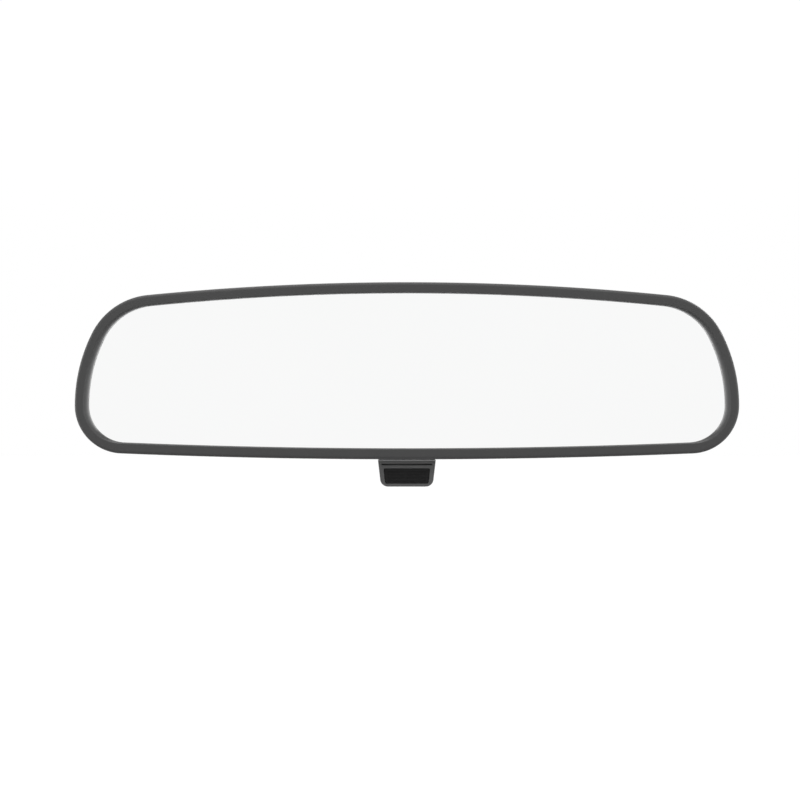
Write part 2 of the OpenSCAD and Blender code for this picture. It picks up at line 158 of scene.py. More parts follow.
def mesh_from(name, verts, faces, place):
    """Closed mesh from millimetre points, moved to its place."""
    mesh = bpy.data.meshes.new(name)
    v = (np.asarray(verts, float) + np.asarray(place, float)) * MM
    mesh.from_pydata([tuple(p) for p in v], [], [tuple(int(i) for i in f) for f in faces])
    work = bmesh.new()
    work.from_mesh(mesh)
    bmesh.ops.remove_doubles(work, verts=work.verts, dist=WELD)
    bmesh.ops.recalc_face_normals(work, faces=work.faces)
    work.to_mesh(mesh)
    work.free()
    finish_mesh(mesh)
    return new_object(name, mesh)


def quads(ring_count, size, closed):
    """Faces between neighbouring rings of as many points as size says."""
    faces = []
    for k in range(ring_count if closed else ring_count - 1):
        here, there = k * size, (k + 1) % ring_count * size
        for i in range(size):
            j = (i + 1) % size
            faces.append((here + i, here + j, there + j, there + i))
    return faces


def loft(name, rings, closed=False, place=(0, 0, 0)):
    """Skin through rings of equally many points, joined end to end if closed and capped if not."""
    verts = np.concatenate([np.asarray(ring, float) for ring in rings])
    size = len(rings[0])
    faces = quads(len(rings), size, closed)
    if not closed:
        faces.append(tuple(range(size)))
        faces.append(tuple(range(len(verts) - size, len(verts))))
    return mesh_from(name, verts, faces, place)


def frame_of(axis):
    """Two directions square to an axis."""
    axis = np.array(axis, float) / np.linalg.norm(axis)
    side = np.array([1.0, 0, 0]) if abs(axis[0]) < 0.9 else np.array([0, 1.0, 0])
    u = side - axis * (side @ axis)
    u /= np.linalg.norm(u)
    return axis, u, np.cross(axis, u)


def lathe(name, path, at, axis, closed=True, n=96):
    """Turns a path of (radius, height) about an axis through a point."""
    w, u, v = frame_of(axis)
    rings = []
    for r, h in path:
        a = np.linspace(0, 2 * math.pi, n, endpoint=False)
        r = max(r, 1e-3)
        rings.append(np.array(at) + h * w + r * (np.cos(a)[:, None] * u + np.sin(a)[:, None] * v))
    return loft(name, rings, closed=closed)


def round_rect(w, h, r, n=8):
    """Rectangle with round corners, centred, counter-clockwise."""
    out = []
    for side, up, start in ((1, 1, 0), (-1, 1, 90), (-1, -1, 180), (1, -1, 270)):
        cx, cy = side * (w / 2 - r), up * (h / 2 - r)
        t = np.radians(np.linspace(start, start + 90, n + 1))
        out += list(np.stack([cx + r * np.cos(t), cy + r * np.sin(t)], 1))
    return np.array(out)


def join(name, parts):
    """Joins objects into one mesh."""
    work = bmesh.new()
    for o in parts:
        work.from_mesh(o.data)
    mesh = bpy.data.meshes.new(name)
    work.to_mesh(mesh)
    work.free()
    for o in parts:
        old = o.data
        bpy.data.objects.remove(o)
        bpy.data.meshes.remove(old)
    finish_mesh(mesh)
    return new_object(name, mesh)


def cut(obj, cutter):
    """Takes one closed mesh out of another; the cutter is used up."""
    mod = obj.modifiers.new("cut", "BOOLEAN")
    mod.operation, mod.solver, mod.object = "DIFFERENCE", "EXACT", cutter
    graph = bpy.context.evaluated_depsgraph_get()
    mesh = bpy.data.meshes.new_from_object(obj.evaluated_get(graph))
    obj.modifiers.clear()
    old = obj.data
    obj.data = mesh
    bpy.data.meshes.remove(old)
    old = cutter.data
    bpy.data.objects.remove(cutter)
    bpy.data.meshes.remove(old)
    finish_mesh(obj.data)
    return obj


def prism(name, shape, to3, a, b, edge=0.3, n=3, place=(0, 0, 0)):
    """Extrudes a convex shape from a to b with rounded rims; to3 places a flat ring at a depth."""
    shape = np.asarray(shape, float)
    mid = shape.mean(0)
    after, before = np.roll(shape, -1, 0), np.roll(shape, 1, 0)
    ahead, behind = after - shape, shape - before
    ahead /= np.linalg.norm(ahead, axis=1)[:, None] + 1e-12
    behind /= np.linalg.norm(behind, axis=1)[:, None] + 1e-12
    normal = np.stack([ahead[:, 1] + behind[:, 1], -(ahead[:, 0] + behind[:, 0])], 1)
    normal /= np.linalg.norm(normal, axis=1)[:, None] + 1e-12
    mitre = 1 / np.clip(np.sqrt((1 + (ahead * behind).sum(1)) / 2), 0.35, 1)
    flip = 1 if ((shape - mid) * normal).sum() > 0 else -1
    inward = -normal * flip * mitre[:, None]
    up = 1 if b > a else -1
    path = []
    for k in range(n + 1):
        t = math.radians(90 * k / n)
        path.append((edge * (1 - math.sin(t)), a + up * edge * (1 - math.cos(t))))
    path += [(d, a + b - y) for d, y in path[::-1]]
    return loft(name, [to3(shape + inward * d, y) for d, y in path], place=place)


def xz(p, y):
    """Flat points seen from the front, at a depth."""
    return np.stack([p[:, 0], np.full(len(p), y), p[:, 1]], 1)


def yz(p, x):
    """Flat points seen from the side, at a distance from the middle."""
    return np.stack([np.full(len(p), x), p[:, 0], p[:, 1]], 1)


def round_poly(points, r, n=4):
    """Closed polygon with rounded corners."""
    return np.array(fillet([(p, r) for p in points], True, n))


# ---- materials ----


class Nodes:
    """Short hand for building a node tree."""

    def __init__(self, name):
        self.mat = bpy.data.materials.new(name)
        self.mat.use_nodes = True
        self.tree = self.mat.node_tree
        self.bsdf = next(n for n in self.tree.nodes if n.type == "BSDF_PRINCIPLED")
        self.coord = self.add("ShaderNodeTexCoord").outputs["Object"]

    def add(self, kind, **values):
        node = self.tree.nodes.new(kind)
        for key, value in values.items():
            setattr(node, key, value)
        return node

    def link(self, a, b):
        self.tree.links.new(a, b)

    def noise(self, scale, detail=3.0, rough=0.55, stretch=None):
        node = self.add("ShaderNodeTexNoise")
        node.inputs["Scale"].default_value = scale
        node.inputs["Detail"].default_value = detail
        node.inputs["Roughness"].default_value = rough
        source = self.coord
        if stretch:
            mapping = self.add("ShaderNodeMapping")
            mapping.inputs["Scale"].default_value = stretch
            self.link(source, mapping.inputs["Vector"])
            source = mapping.outputs["Vector"]
        self.link(source, node.inputs["Vector"])
        return node.outputs["Fac"]

    def spread(self, value, low, high, from_low=0.3, from_high=0.7):
        node = self.add("ShaderNodeMapRange")
        for key, v in (("From Min", from_low), ("From Max", from_high), ("To Min", low), ("To Max", high)):
            node.inputs[key].default_value = v
        self.link(value, node.inputs["Value"])
        return node.outputs["Result"]

    def tint(self, factor, dark, light):
        node = self.add("ShaderNodeMix", data_type="RGBA")
        node.inputs[6].default_value = (*dark, 1)
        node.inputs[7].default_value = (*light, 1)
        self.link(factor, node.inputs[0])
        return node.outputs[2]

    def bump(self, height, strength, distance, under=None):
        node = self.add("ShaderNodeBump")
        node.inputs["Strength"].default_value = strength
        node.inputs["Distance"].default_value = distance
        self.link(height, node.inputs["Height"])
        if under is not None:
            self.link(under, node.inputs["Normal"])
        return node.outputs["Normal"]

    def set(self, **values):
        for key, value in values.items():
            socket = self.bsdf.inputs[key.replace("_", " ")]
            if hasattr(value, "is_linked") or isinstance(value, bpy.types.NodeSocket):
                self.link(value, socket)
            else:
                socket.default_value = value
        return self


def grey(v, warm=0.0):
    """Grey as a colour, a little warmer if asked."""
    return (v * (1 + warm), v, v * (1 - warm))


def plastic(name, base, rough, grain=0.00016, depth=0.000012, spec=0.5, uneven=1.0, lip=()):
    """Moulded plastic: fine grain, slow change of tone and gloss, and a painted highlight added along a
    marked lip.
    """
    look = Nodes(name)
    slow = look.noise(38, 4)
    fine = look.noise(1 / grain, 2, 0.5)
    tone = look.tint(slow, grey(base * (1 - 0.06 * uneven)), grey(base * (1 + 0.06 * uneven)))
    # painted highlight: grey added along the marked lip of the bezel
    if lip:
        ramp = look.add("ShaderNodeValToRGB")
        look.link(look.add("ShaderNodeAttribute", attribute_name="lip").outputs["Fac"], ramp.inputs[0])
        while len(ramp.color_ramp.elements) < len(lip):
            ramp.color_ramp.elements.new(0.5)
        for stop, (at, added) in zip(ramp.color_ramp.elements, lip):
            stop.position, stop.color = at, (*grey(added), 1)
        total = look.add("ShaderNodeMix", data_type="RGBA", blend_type="ADD")
        total.inputs[0].default_value = 1.0
        look.link(tone, total.inputs[6])
        look.link(ramp.outputs["Color"], total.inputs[7])
        tone = total.outputs[2]
    look.set(Base_Color=tone)
    look.set(Roughness=look.spread(look.noise(210, 3), rough - 0.03 * uneven, rough + 0.04 * uneven))
    look.bsdf.inputs["Specular IOR Level"].default_value = spec
    look.set(Normal=look.bump(fine, 0.55, depth))
    return look.mat


def lever_plastic(name):
    """The bezel's plastic made lighter to offset the shade under the bezel, with a painted highlight along
    the tab's upper edge.
    """
    look = Nodes(name)
    parts = look.add("ShaderNodeSeparateXYZ")
    look.link(look.coord, parts.inputs[0])
    # painted highlight: a light grey band along the tab's upper front edge, masked by height and depth
    edge = (HEAD[2] - 21.15) * MM
    height = look.spread(parts.outputs["Z"], 0.0, 1.0, edge - 0.0001, edge + 0.0002)
    front = look.spread(parts.outputs["Y"], 1.0, 0.0, (HEAD[1] + 11.7) * MM, (HEAD[1] + 12.0) * MM)
    highlight_band = look.add("ShaderNodeMath", operation="MULTIPLY")
    look.link(height, highlight_band.inputs[0])
    look.link(front, highlight_band.inputs[1])
    # painted light: a base lighter than the bezel's plastic, to offset the shade under the bezel
    shade_offset_base = look.tint(look.noise(38, 4), grey(0.062), grey(0.069))
    painted_highlight = look.tint(look.noise(600, 4), grey(0.32), grey(0.38))
    mix = look.add("ShaderNodeMix", data_type="RGBA")
    look.link(highlight_band.outputs[0], mix.inputs[0])
    look.link(shade_offset_base, mix.inputs[6])
    look.link(painted_highlight, mix.inputs[7])
    look.set(Base_Color=mix.outputs[2], Roughness=look.spread(look.noise(210, 3), 0.46, 0.55))
    look.bsdf.inputs["Specular IOR Level"].default_value = 0.4
    look.set(Normal=look.bump(look.noise(1 / 0.00016, 2, 0.5), 0.55, 0.000012))
    return look.mat


def painted(name, base, rough):
    """Powder coat: orange peel over a satin black."""
    look = Nodes(name)
    peel = look.noise(900, 1, 0.4)
    look.set(Base_Color=look.tint(look.noise(60, 3), grey(base * 0.88), grey(base * 1.14)))
    look.bsdf.inputs["Specular IOR Level"].default_value = 0.42
    look.set(Roughness=look.spread(look.noise(420, 4), rough - 0.04, rough + 0.05))
    look.set(Normal=look.bump(look.noise(4200, 1), 0.3, 0.000004, look.bump(peel, 0.4, 0.000012)))
    return look.mat


def metal(name, base, rough, brushed=None, warm=0.0):
    """Bare metal: fine brushing or turning marks and cloudy gloss."""
    look = Nodes(name)
    marks = look.noise(900, 5, 0.6, stretch=brushed or (1, 1, 1))
    look.set(Base_Color=look.tint(look.noise(140, 4), grey(base * 0.88, warm), grey(base * 1.06, warm)))
    look.set(Metallic=1.0, Roughness=look.spread(marks, rough - 0.08, rough + 0.1))
    look.set(Normal=look.bump(marks, 0.12, 0.000004))
    return look.mat


def rubber(name, base, rough=0.78, spec=0.3):
    """Matt rubber with a cloudy tone and a fine skin."""
    look = Nodes(name)
    look.set(Base_Color=look.tint(look.noise(260, 5), grey(base * 0.75), grey(base * 1.3)))
    look.set(Roughness=look.spread(look.noise(700, 3), rough - 0.08, rough + 0.08))
    look.bsdf.inputs["Specular IOR Level"].default_value = spec
    look.set(Normal=look.bump(look.noise(3600, 3), 0.5, 0.000015))
    return look.mat


def nylon(name):
    """Unfilled nylon: cream, slightly translucent."""
    look = Nodes(name)
    look.set(Base_Color=look.tint(look.noise(120, 3), (0.62, 0.59, 0.50), (0.74, 0.71, 0.63)))
    look.set(Roughness=look.spread(look.noise(300, 3), 0.38, 0.5), Subsurface_Weight=0.15)
    look.set(Normal=look.bump(look.noise(2400, 2), 0.3, 0.00001))
    return look.mat


def foam(name):
    """Open-cell foam tape."""
    look = Nodes(name)
    cell = look.add("ShaderNodeTexVoronoi")
    cell.inputs["Scale"].default_value = 2600
    look.link(look.coord, cell.inputs["Vector"])
    look.set(Base_Color=look.tint(look.noise(400, 4), grey(0.035), grey(0.07)), Roughness=0.95)
    look.set(Normal=look.bump(cell.outputs["Distance"], 0.8, 0.00012))
    return look.mat


def mirror_glass(name):
    """Silvered glass as the driver sees it: a full mirror, with traces of wiping."""
    look = Nodes(name)
    look.set(Base_Color=look.tint(look.noise(12, 2), (0.932, 0.936, 0.934), (0.946, 0.948, 0.947)))
    look.set(Metallic=1.0, Roughness=look.spread(look.noise(70, 3), 0.002, 0.012))
    return look.mat


def silver(name):
    """Silvering seen through the glass, with the slight unevenness of the coat."""
    look = Nodes(name)
    look.set(Base_Color=look.tint(look.noise(20, 3), (0.945, 0.95, 0.95), (0.965, 0.965, 0.965)))
    look.set(Metallic=1.0, Roughness=look.spread(look.noise(55, 3), 0.006, 0.014))
    return look.mat


# how far down the bezel's lip, and the grey of the painted highlight that is added there
LIP_PAINTED_HIGHLIGHT = [(0.0, 0.0), (0.35, 0.004), (0.6, 0.034), (0.8, 0.095), (0.92, 0.24), (1.0, 0.42)]
MATS = {
    "button_metal": metal("button_metal", 0.17, 0.5, (1, 24, 24), warm=0.02),
    "painted_casting": painted("painted_casting", 0.022, 0.5),
    "dark_steel": metal("dark_steel", 0.16, 0.4),
    "bright_steel": metal("bright_steel", 0.44, 0.3, (14, 1, 14)),
    "natural_nylon": nylon("natural_nylon"),
    "painted_tube": painted("painted_tube", 0.018, 0.32),
    "spring_steel": metal("spring_steel", 0.42, 0.32),
    "filled_nylon": plastic("filled_nylon", 0.035, 0.58, 0.0004, 0.00003),
    "housing_plastic": plastic(
        "housing_plastic", 0.028, 0.585, grain=0.0003, depth=0.000006, spec=0.36, uneven=0.3
    ),
    "bezel_plastic": plastic("bezel_plastic", 0.026, 0.5, spec=0.38, lip=LIP_PAINTED_HIGHLIGHT),
    "prism_glass": mirror_glass("prism_glass"),
    "mirror_coat": silver("mirror_coat"),
    "foam": foam("foam"),
    "soft_rubber": rubber("soft_rubber", 0.022),
    "lever_plastic": lever_plastic("lever_plastic"),
    "grip_rubber": rubber("grip_rubber", 0.008, 0.7, 0.2),
}


def settle(obj):
    """Lets each large flat face keep its own direction, so that only the rounded edges shade as curved."""
    mod = obj.modifiers.new("weighted", "WEIGHTED_NORMAL")
    mod.mode, mod.weight, mod.keep_sharp = "FACE_AREA", 60, True
    graph = bpy.context.evaluated_depsgraph_get()
    mesh = bpy.data.meshes.new_from_object(obj.evaluated_get(graph))
    obj.modifiers.clear()
    old, name = obj.data, obj.data.name
    obj.data = mesh
    bpy.data.meshes.remove(old)
    mesh.name = name


def dress(obj, slot_name, body, *nodes):
    """Gives a finished piece its material, its body and its slot, and hides the CAD nodes it stands for."""
    settle(obj)
    obj.data.materials.clear()
    obj.data.materials.append(MATS[slot_name])
    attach(obj, body)
    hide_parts(*nodes)


for part in frame["record"]["subparts"]:
    node = frame["nodes"][part["node"]]
    node.data.materials.clear()
    node.data.materials.append(MATS[part["material_slot"]])
    for face in node.data.polygons:
        face.material_index = 0


# ---- front bezel ----


def sweep(path):
    """Rings of the outline for a path of (inset, depth, extra half width)."""
    rings = []
    for d, y, extra in path:
        p = outline(d)
        rings.append(np.stack([p[:, 0] * (1 + extra / HALF_W), np.full(len(p), y), p[:, 1]], 1))
    return rings


SLOT_W, SLOT_T, SLOT_Y = 23.2, 13.4, 11.7


def slot_cutter(top):
    """Opening that the lever's stem swings in, up to a height, with an eased lower rim."""
    shape = round_rect(SLOT_W, SLOT_T, 1.4, 6)

    def ring(z, grow):
        x = shape[:, 0] * (1 + 2 * grow / SLOT_W)
        y = SLOT_Y + shape[:, 1] * (1 + 2 * grow / SLOT_T)
        return np.stack([x, y, np.full(len(x), z)], 1)

    rings = [ring(-30, 0.35), ring(-20.25, 0.35), ring(-19.9, 0), ring(top, 0)]
    return loft("slot_cutter", rings, place=HEAD)


TONGUE, LIP_DEPTH = 2.0, 1.4
tongue_inset = WALL / 2 + 0.15

# (inset, depth, extra half width) and corner radius: outside, face, lip, inner wall, tongue and joint
bezel_path = fillet(
    [
        ((0, DEPTH - 0.25, 0), 0.0),
        ((0, 0, 0), 1.3),
        ((3.85, 0, 0.75), 0.22),
        ((BORDER, LIP_DEPTH, -1.0), 0.12),
        ((BORDER, 2.2, -1.0), 0.1),
        ((WALL, 2.2, 0), 0.0),
        ((WALL, DEPTH + TONGUE, 0), 0.0),
        ((tongue_inset, DEPTH + TONGUE, 0), 0.2),
        ((tongue_inset, DEPTH, 0), 0.0),
        ((0.25, DEPTH, 0), 0.0),
    ],
    True,
    6,
)
bezel = loft("bezel_look", sweep(bezel_path), closed=True, place=HEAD)
bezel = cut(bezel, slot_cutter(-17.5))
dress(bezel, "bezel_plastic", "mirror_head", "front_bezel")


def mark_lip_highlight(obj, least_inset=2.6, weaker=0.11, fade=0.3):
    """Marks how far down the inner lip each point lies, for a painted highlight that fades out along the
    sill.
    """
    mesh = obj.data
    at = np.empty(3 * len(mesh.vertices))
    mesh.vertices.foreach_get("co", at)
    at = at.reshape(-1, 3) / MM - HEAD
    edge = outline(0, 6.0)
    to_edge = edge[None, :, :] - at[:, None, [0, 2]]
    inset = np.hypot(to_edge[:, :, 0], to_edge[:, :, 1])
    near = inset.argmin(1)
    row = np.arange(len(at))
    inset = inset[row, near]
    rise = to_edge[row, near, 1] / np.maximum(inset, 0.01)
    down = np.clip(at[:, 1] / LIP_DEPTH, 0, 1) * (inset > least_inset) * (at[:, 1] < 2.5)
    mark = mesh.attributes.new("lip", "FLOAT", "POINT")
    reach = 1 - weaker * np.clip(1 - 1.6 * rise, 0, 1)
    mark.data.foreach_set("value", down * reach * np.clip((rise + 0.98) / fade, 0, 1))


mark_lip_highlight(bezel)


# ---- rear housing ----


class Gauge:
    """How far out a point lies between the dome's middle (0) and the outline (1)."""

    def __init__(self, d, dense=16.0):
        p = outline(d, dense)
        a = np.arctan2(p[:, 1] - DOME_Z, p[:, 0])
        r = np.hypot(p[:, 0], p[:, 1] - DOME_Z)
        order = np.argsort(a)
        self.a, self.r = a[order], r[order]

    def __call__(self, x, z):
        a = np.arctan2(z - DOME_Z, x)
        return np.hypot(x, z - DOME_Z) / np.interp(a, self.a, self.r, period=2 * math.pi)


outer_gauge, inner_gauge = Gauge(0), Gauge(WALL)

# the dome bulges as a superellipse of these powers; its rings stop at this share of a quarter turn
DOME_POWER, EDGE_POWER, RING_SPAN = 0.62, 0.4, 0.78


def dome(x, z, gauge, inner):
    """Depth of the domed back, or of its inner face, at points of the head."""
    s = np.clip(gauge(x, z), 0, 1)
    deep = DOME * (1 - FLATTEN * (x / HALF_W) ** 2) - inner
    return DEPTH + deep * (1 - s ** (2 / DOME_POWER)) ** EDGE_POWER


def dome_rings(d, gauge, inner, levels, hole, hole_levels=14):
    """Rings from the joint to a round hole, lying on the dome."""
    p = outline(d)
    a = np.arctan2(p[:, 1] - PORT_Z, p[:, 0])
    circle = np.stack([hole * np.cos(a), PORT_Z + hole * np.sin(a)], 1)
    flat = []
    for k in range(1, levels + 1):
        s = math.cos(math.pi / 2 * RING_SPAN * k / levels) ** DOME_POWER
        flat.append(np.stack([p[:, 0] * s, DOME_Z + (p[:, 1] - DOME_Z) * s], 1))
    last = flat[-1]
    for k in range(1, hole_levels + 1):
        u = k / hole_levels
        flat.append(last * (1 - u) + circle * u)
    return [np.stack([q[:, 0], dome(q[:, 0], q[:, 1], gauge, inner), q[:, 1]], 1) for q in flat]


COLLAR_R, COLLAR_Y, SEAT_R, PORT_R = 17.2, 30.0, 13.0, 11.0
outer = dome_rings(0, outer_gauge, 0, 34, COLLAR_R)
inner = dome_rings(WALL, inner_gauge, WALL, 20, SEAT_R)

# (radius, height over the collar's level or, outside it, over the dome) and corner radius
collar_path = fillet(
    [
        ((COLLAR_R, 0), 0),
        ((15.6, 0), 1.2),
        ((15.3, 1), 0.5),
        ((SEAT_R + 0.05, 1), 0.25),
        ((SEAT_R, -0.2), 0.1),
        ((PORT_R, -0.2), 0.2),
        ((PORT_R, -3.6), 0.2),
        ((SEAT_R, -3.6), 0),
    ],
    False,
    5,
)
around = np.arctan2(outer[-1][:, 2] - PORT_Z, outer[-1][:, 0])
collar = []
for r, h in collar_path:
    x, z = r * np.cos(around), PORT_Z + r * np.sin(around)
    y = np.full(len(x), COLLAR_Y + h)
    if r >= 15.25 and h <= 0.8:
        on_dome = dome(x, z, outer_gauge, 0)
        y = on_dome + (COLLAR_Y - on_dome) * min(1, max(0, h)) + h
    collar.append(np.stack([x, y, z], 1))
start = sweep([(0.3, DEPTH, 0), (0.0, DEPTH + 0.3, 0)])
floor_y = DEPTH + TONGUE + 0.12
rebate = sweep([(WALL, floor_y, 0), (WALL / 2, floor_y, 0), (WALL / 2, DEPTH, 0)])
outer_part = [q for q in outer if q[:, 1].min() > DEPTH + 0.4]
inner_part = [q for q in inner[::-1] if q[:, 1].min() > DEPTH + TONGUE + 0.3]
shell = start + outer_part + collar[1:] + inner_part + rebate
housing = loft("housing_look", shell, closed=True, place=HEAD)
housing = cut(housing, slot_cutter(-12.5))


def on_wall(x, z, reach=0.0, inset=0.6):
    """Depth just inside the dome's outer face, at the shallowest point within reach."""
    t = np.linspace(0, 2 * math.pi, 24, endpoint=False)
    return float(dome(x + reach * np.cos(t), z + reach * np.sin(t), outer_gauge, 0).min()) - inset


# ears for the hinge rod, feet for the lever's pin
inside = []
ear_top, ear_low = TILT_Z + 4, TILT_Z - 4
ear = round_poly(
    [(11, ear_low), (11, ear_top), (on_wall(21, ear_top), ear_top), (on_wall(21, ear_low), ear_low)], 1.2
)
foot = round_poly(
    [
        (PIVOT_Y - 3.4, -17.8),
        (PIVOT_Y - 3.4, PIVOT_Z + 3.4),
        (PIVOT_Y + 3.4, PIVOT_Z + 3.4),
        (PIVOT_Y + 8.0, -16.6),
        (PIVOT_Y + 6.0, -17.8),
    ],
    1.0,
)
for side in (-1, 1):
    inside.append(prism("ear", ear, yz, side * 19.2, side * 22.2, place=HEAD))
    inside.append(prism("foot", foot, yz, side * 10.6, side * 13.2, place=HEAD))
# x, z, radius and front depth of the posts: for the cushions, for two bumpers and for the detent's screw
posts = [(x, z, 3.5, 11.5) for x, z in POSTS]
posts += [(14, 6, 3.4, 26.25), (-14, 6, 3.4, 26.25), (0, -1.8, 3.2, 18.6)]
for x, z, r, y in posts:
    top = on_wall(x, z, reach=r + 0.3)
    post_path = fillet([((0, y), 0), ((r, y), 0.4), ((r + 0.3, top), 0), ((0, top), 0)], False, 4)
    at = HEAD + np.array([x, 0, z])
    inside.append(lathe("post", post_path, at, (0, 1, 0), closed=False, n=48))
housing = join("housing_look", [housing] + inside)
dress(housing, "housing_plastic", "mirror_head", "rear_housing")

ring_path = fillet(
    [((10.2, 29.83), 0.3), ((10.2, 31.4), 0.75), ((12.95, 31.4), 0.6), ((12.95, 29.83), 0.2)], True, 6
)
port = lathe("port_ring_look", ring_path, HEAD + np.array([0, 0, PORT_Z]), (0, 1, 0))
dress(port, "soft_rubber", "mirror_head", "port_ring")


# ---- glass and its silvering ----

wedge_a = math.atan((GLASS_HIGH - GLASS_LOW) / WEDGE_SPAN)


def back_of_glass(z, gap):
    """Depth of the prism glass's sloping back at a height, plus a gap."""
    return GLASS_Y + GLASS_LOW + (z - WEDGE_Z) * math.tan(wedge_a) + gap


def wedge_rings(d, front, back, edge):
    """Plate between two depths given as functions of height, with its rims eased."""
    rim = [(edge, 0), (0.3 * edge, 0.3 * edge), (0, edge)]
    rings = []
    for face, inward, order in ((front, 1, rim), (back, -1, rim[::-1])):
        for inset, step in order:
            p = outline(d + inset)
            y = face(p[:, 1]) + inward * step
            rings.append(np.stack([p[:, 0], y, p[:, 1]], 1))
    return rings


glass_rings = wedge_rings(
    WALL + 0.35, lambda z: np.full(len(z), GLASS_Y), lambda z: back_of_glass(z, 0), 0.25
)
glass = loft("glass_look", glass_rings, place=HEAD)
dress(glass, "prism_glass", "mirror_head", "prism_glass")
coat_rings = wedge_rings(
    WALL + 0.7, lambda z: back_of_glass(z, 0.03), lambda z: back_of_glass(z, 0.4), 0.05
)
coat = loft("silver_look", coat_rings, place=HEAD)
dress(coat, "mirror_coat", "mirror_head", "reflective_backing")


# ---- day and night lever ----

TAB_Y, TAB_T, PANEL_DEPTH, GROOVE_DEPTH = 11.2, 5.2, 1.0, 2.8


def tab_shape(lean=6.7, r=3.0, n=10):
    """Front shape of the finger tab: sides that lean in downwards, and round lower corners."""
    cx, cz = 10.23 - r / math.cos(math.radians(lean)), -31.05 + r
    t = np.radians(np.linspace(-90, -lean, n + 1))
    right = np.stack([cx + r * np.cos(t), cz + r * np.sin(t)], 1)
    right = np.concatenate([right, [[11.05, -20.98], [10.82, -20.7]]])
    return np.concatenate([right, right[::-1] * [-1, 1]])


tab = prism("tab", tab_shape(), xz, TAB_Y, TAB_Y + TAB_T, edge=0.32, n=4, place=HEAD)
groove = round_rect(19.4, 0.6, 0.25, 5) + [0, -22.58]
tab = cut(tab, prism("groove", groove, xz, TAB_Y + GROOVE_DEPTH, 10.9, edge=0.0, place=HEAD))
panel = round_poly(
    [(8.85, -24.1), (-8.85, -24.1), (-8.4, -29.25), (-7.85, -29.8), (7.85, -29.8), (8.4, -29.25)], 0.35
)
panel_centre = np.array([0, -26.95])


def panel_cutter():
    """Pocket for the grip pad, with an eased rim."""

    def ring(y, grow):
        return xz((panel - panel_centre) * [1 + grow / 8.6, 1 + grow / 2.85] + panel_centre, y)

    path = [(TAB_Y + PANEL_DEPTH, 0), (TAB_Y + 0.25, 0), (TAB_Y, 0.22), (TAB_Y - 0.7, 0.22)]
    rings = [ring(y, grow) for y, grow in path]
    return loft("panel_cutter", rings, place=HEAD)


tab = cut(tab, panel_cutter())
stem = [(PIVOT_Y - 2, PIVOT_Z), (PIVOT_Y + 2, PIVOT_Z), (PIVOT_Y + 2.3, -21.6), (PIVOT_Y - 2.3, -21.6)]
# the crank is as long as it takes for the lever's turn of FLIP to tilt the head by NIGHT
crank_half = math.radians((FLIP + NIGHT) / 2)
crank_r = (TILT_Z - PIVOT_Z) * math.sin(math.radians(NIGHT)) / (2 * math.sin(crank_half))
crank_y, crank_z = PIVOT_Y - crank_r * math.sin(crank_half), PIVOT_Z + crank_r * math.cos(crank_half)
lever_parts = [tab, prism("stem", round_poly(stem, 0.5), yz, -9, 9, place=HEAD)]
hub = fillet([((1.56, -9.9), 0), ((3.0, -9.9), 0.3), ((3.0, 9.9), 0.3), ((1.56, 9.9), 0)], True, 4)
lever_parts.append(lathe("hub", hub, HEAD + np.array([0, PIVOT_Y, PIVOT_Z]), (1, 0, 0), n=64))
for side in (-1, 1):
    cheek = [
        (PIVOT_Y - 2.2, PIVOT_Z + 2.0),
        (PIVOT_Y + 2.2, PIVOT_Z + 2.0),
        (crank_y + 2.2, crank_z),
        (crank_y - 2.2, crank_z),
    ]
    cheek = prism("cheek", round_poly(cheek, 0.2), yz, side * 1.8, side * 5, edge=0.2, place=HEAD)
    eye = fillet([((1.13, 0), 0), ((2.3, 0), 0.25), ((2.3, 3.2), 0.25), ((1.13, 3.2), 0)], True, 4)
    eye = lathe("eye", eye, HEAD + np.array([side * 1.8, crank_y, crank_z]), (side, 0, 0), n=48)
    lever_parts += [cheek, eye]

# the cam has two flats, one for day and one for night, that the leaf spring rests on
CAM_R, FLAT_AT = 4.5, 4.05
cam = []
for a in np.linspace(-62, 97, 30):
    reach = CAM_R
    for flat in (0, -FLIP):
        c = math.cos(math.radians(a - flat))
        if c > 0:
            reach = min(reach, FLAT_AT / c)
    cam.append((PIVOT_Y + reach * math.cos(math.radians(a)), PIVOT_Z + reach * math.sin(math.radians(a))))
cam.append((PIVOT_Y, PIVOT_Z))
lever_parts.append(prism("cam", np.array(cam), yz, -5, 5, edge=0.0, place=HEAD))
lever = join("lever_look", lever_parts)
dress(lever, "lever_plastic", "lever", "day_night_lever")

pad_shape = (panel - panel_centre) * [0.993, 0.98] + panel_centre
pad_y, pad_t = TAB_Y + 0.4, 0.58
pad = prism("pad", pad_shape, xz, pad_y, pad_y + pad_t, edge=0.18, place=HEAD)
for i in range(4):
    rib = round_rect(14.8, 0.45, 0.2, 4) + [0, -28.88 + 1.15 * i]
    pad = cut(pad, prism("rib", rib, xz, 11.9, 11.2, edge=0.0, place=HEAD))
dress(pad, "grip_rubber", "lever", "lever_grip_pad")


# ---- arm ----

ring_out = BALL + 0.75
tube_in, mouth = ring_out + 0.05, 5.4
tube_out = tube_in + 1.5


def ball_arc(r, a0, a1, n=14, h0=0.0, sign=1):
    """Path along a sphere's profile, between two angles from the tube's mouth."""
    t = np.radians(np.linspace(a0, a1, n))
    return [((r * math.sin(q), h0 - sign * r * math.cos(q)), 0) for q in t]


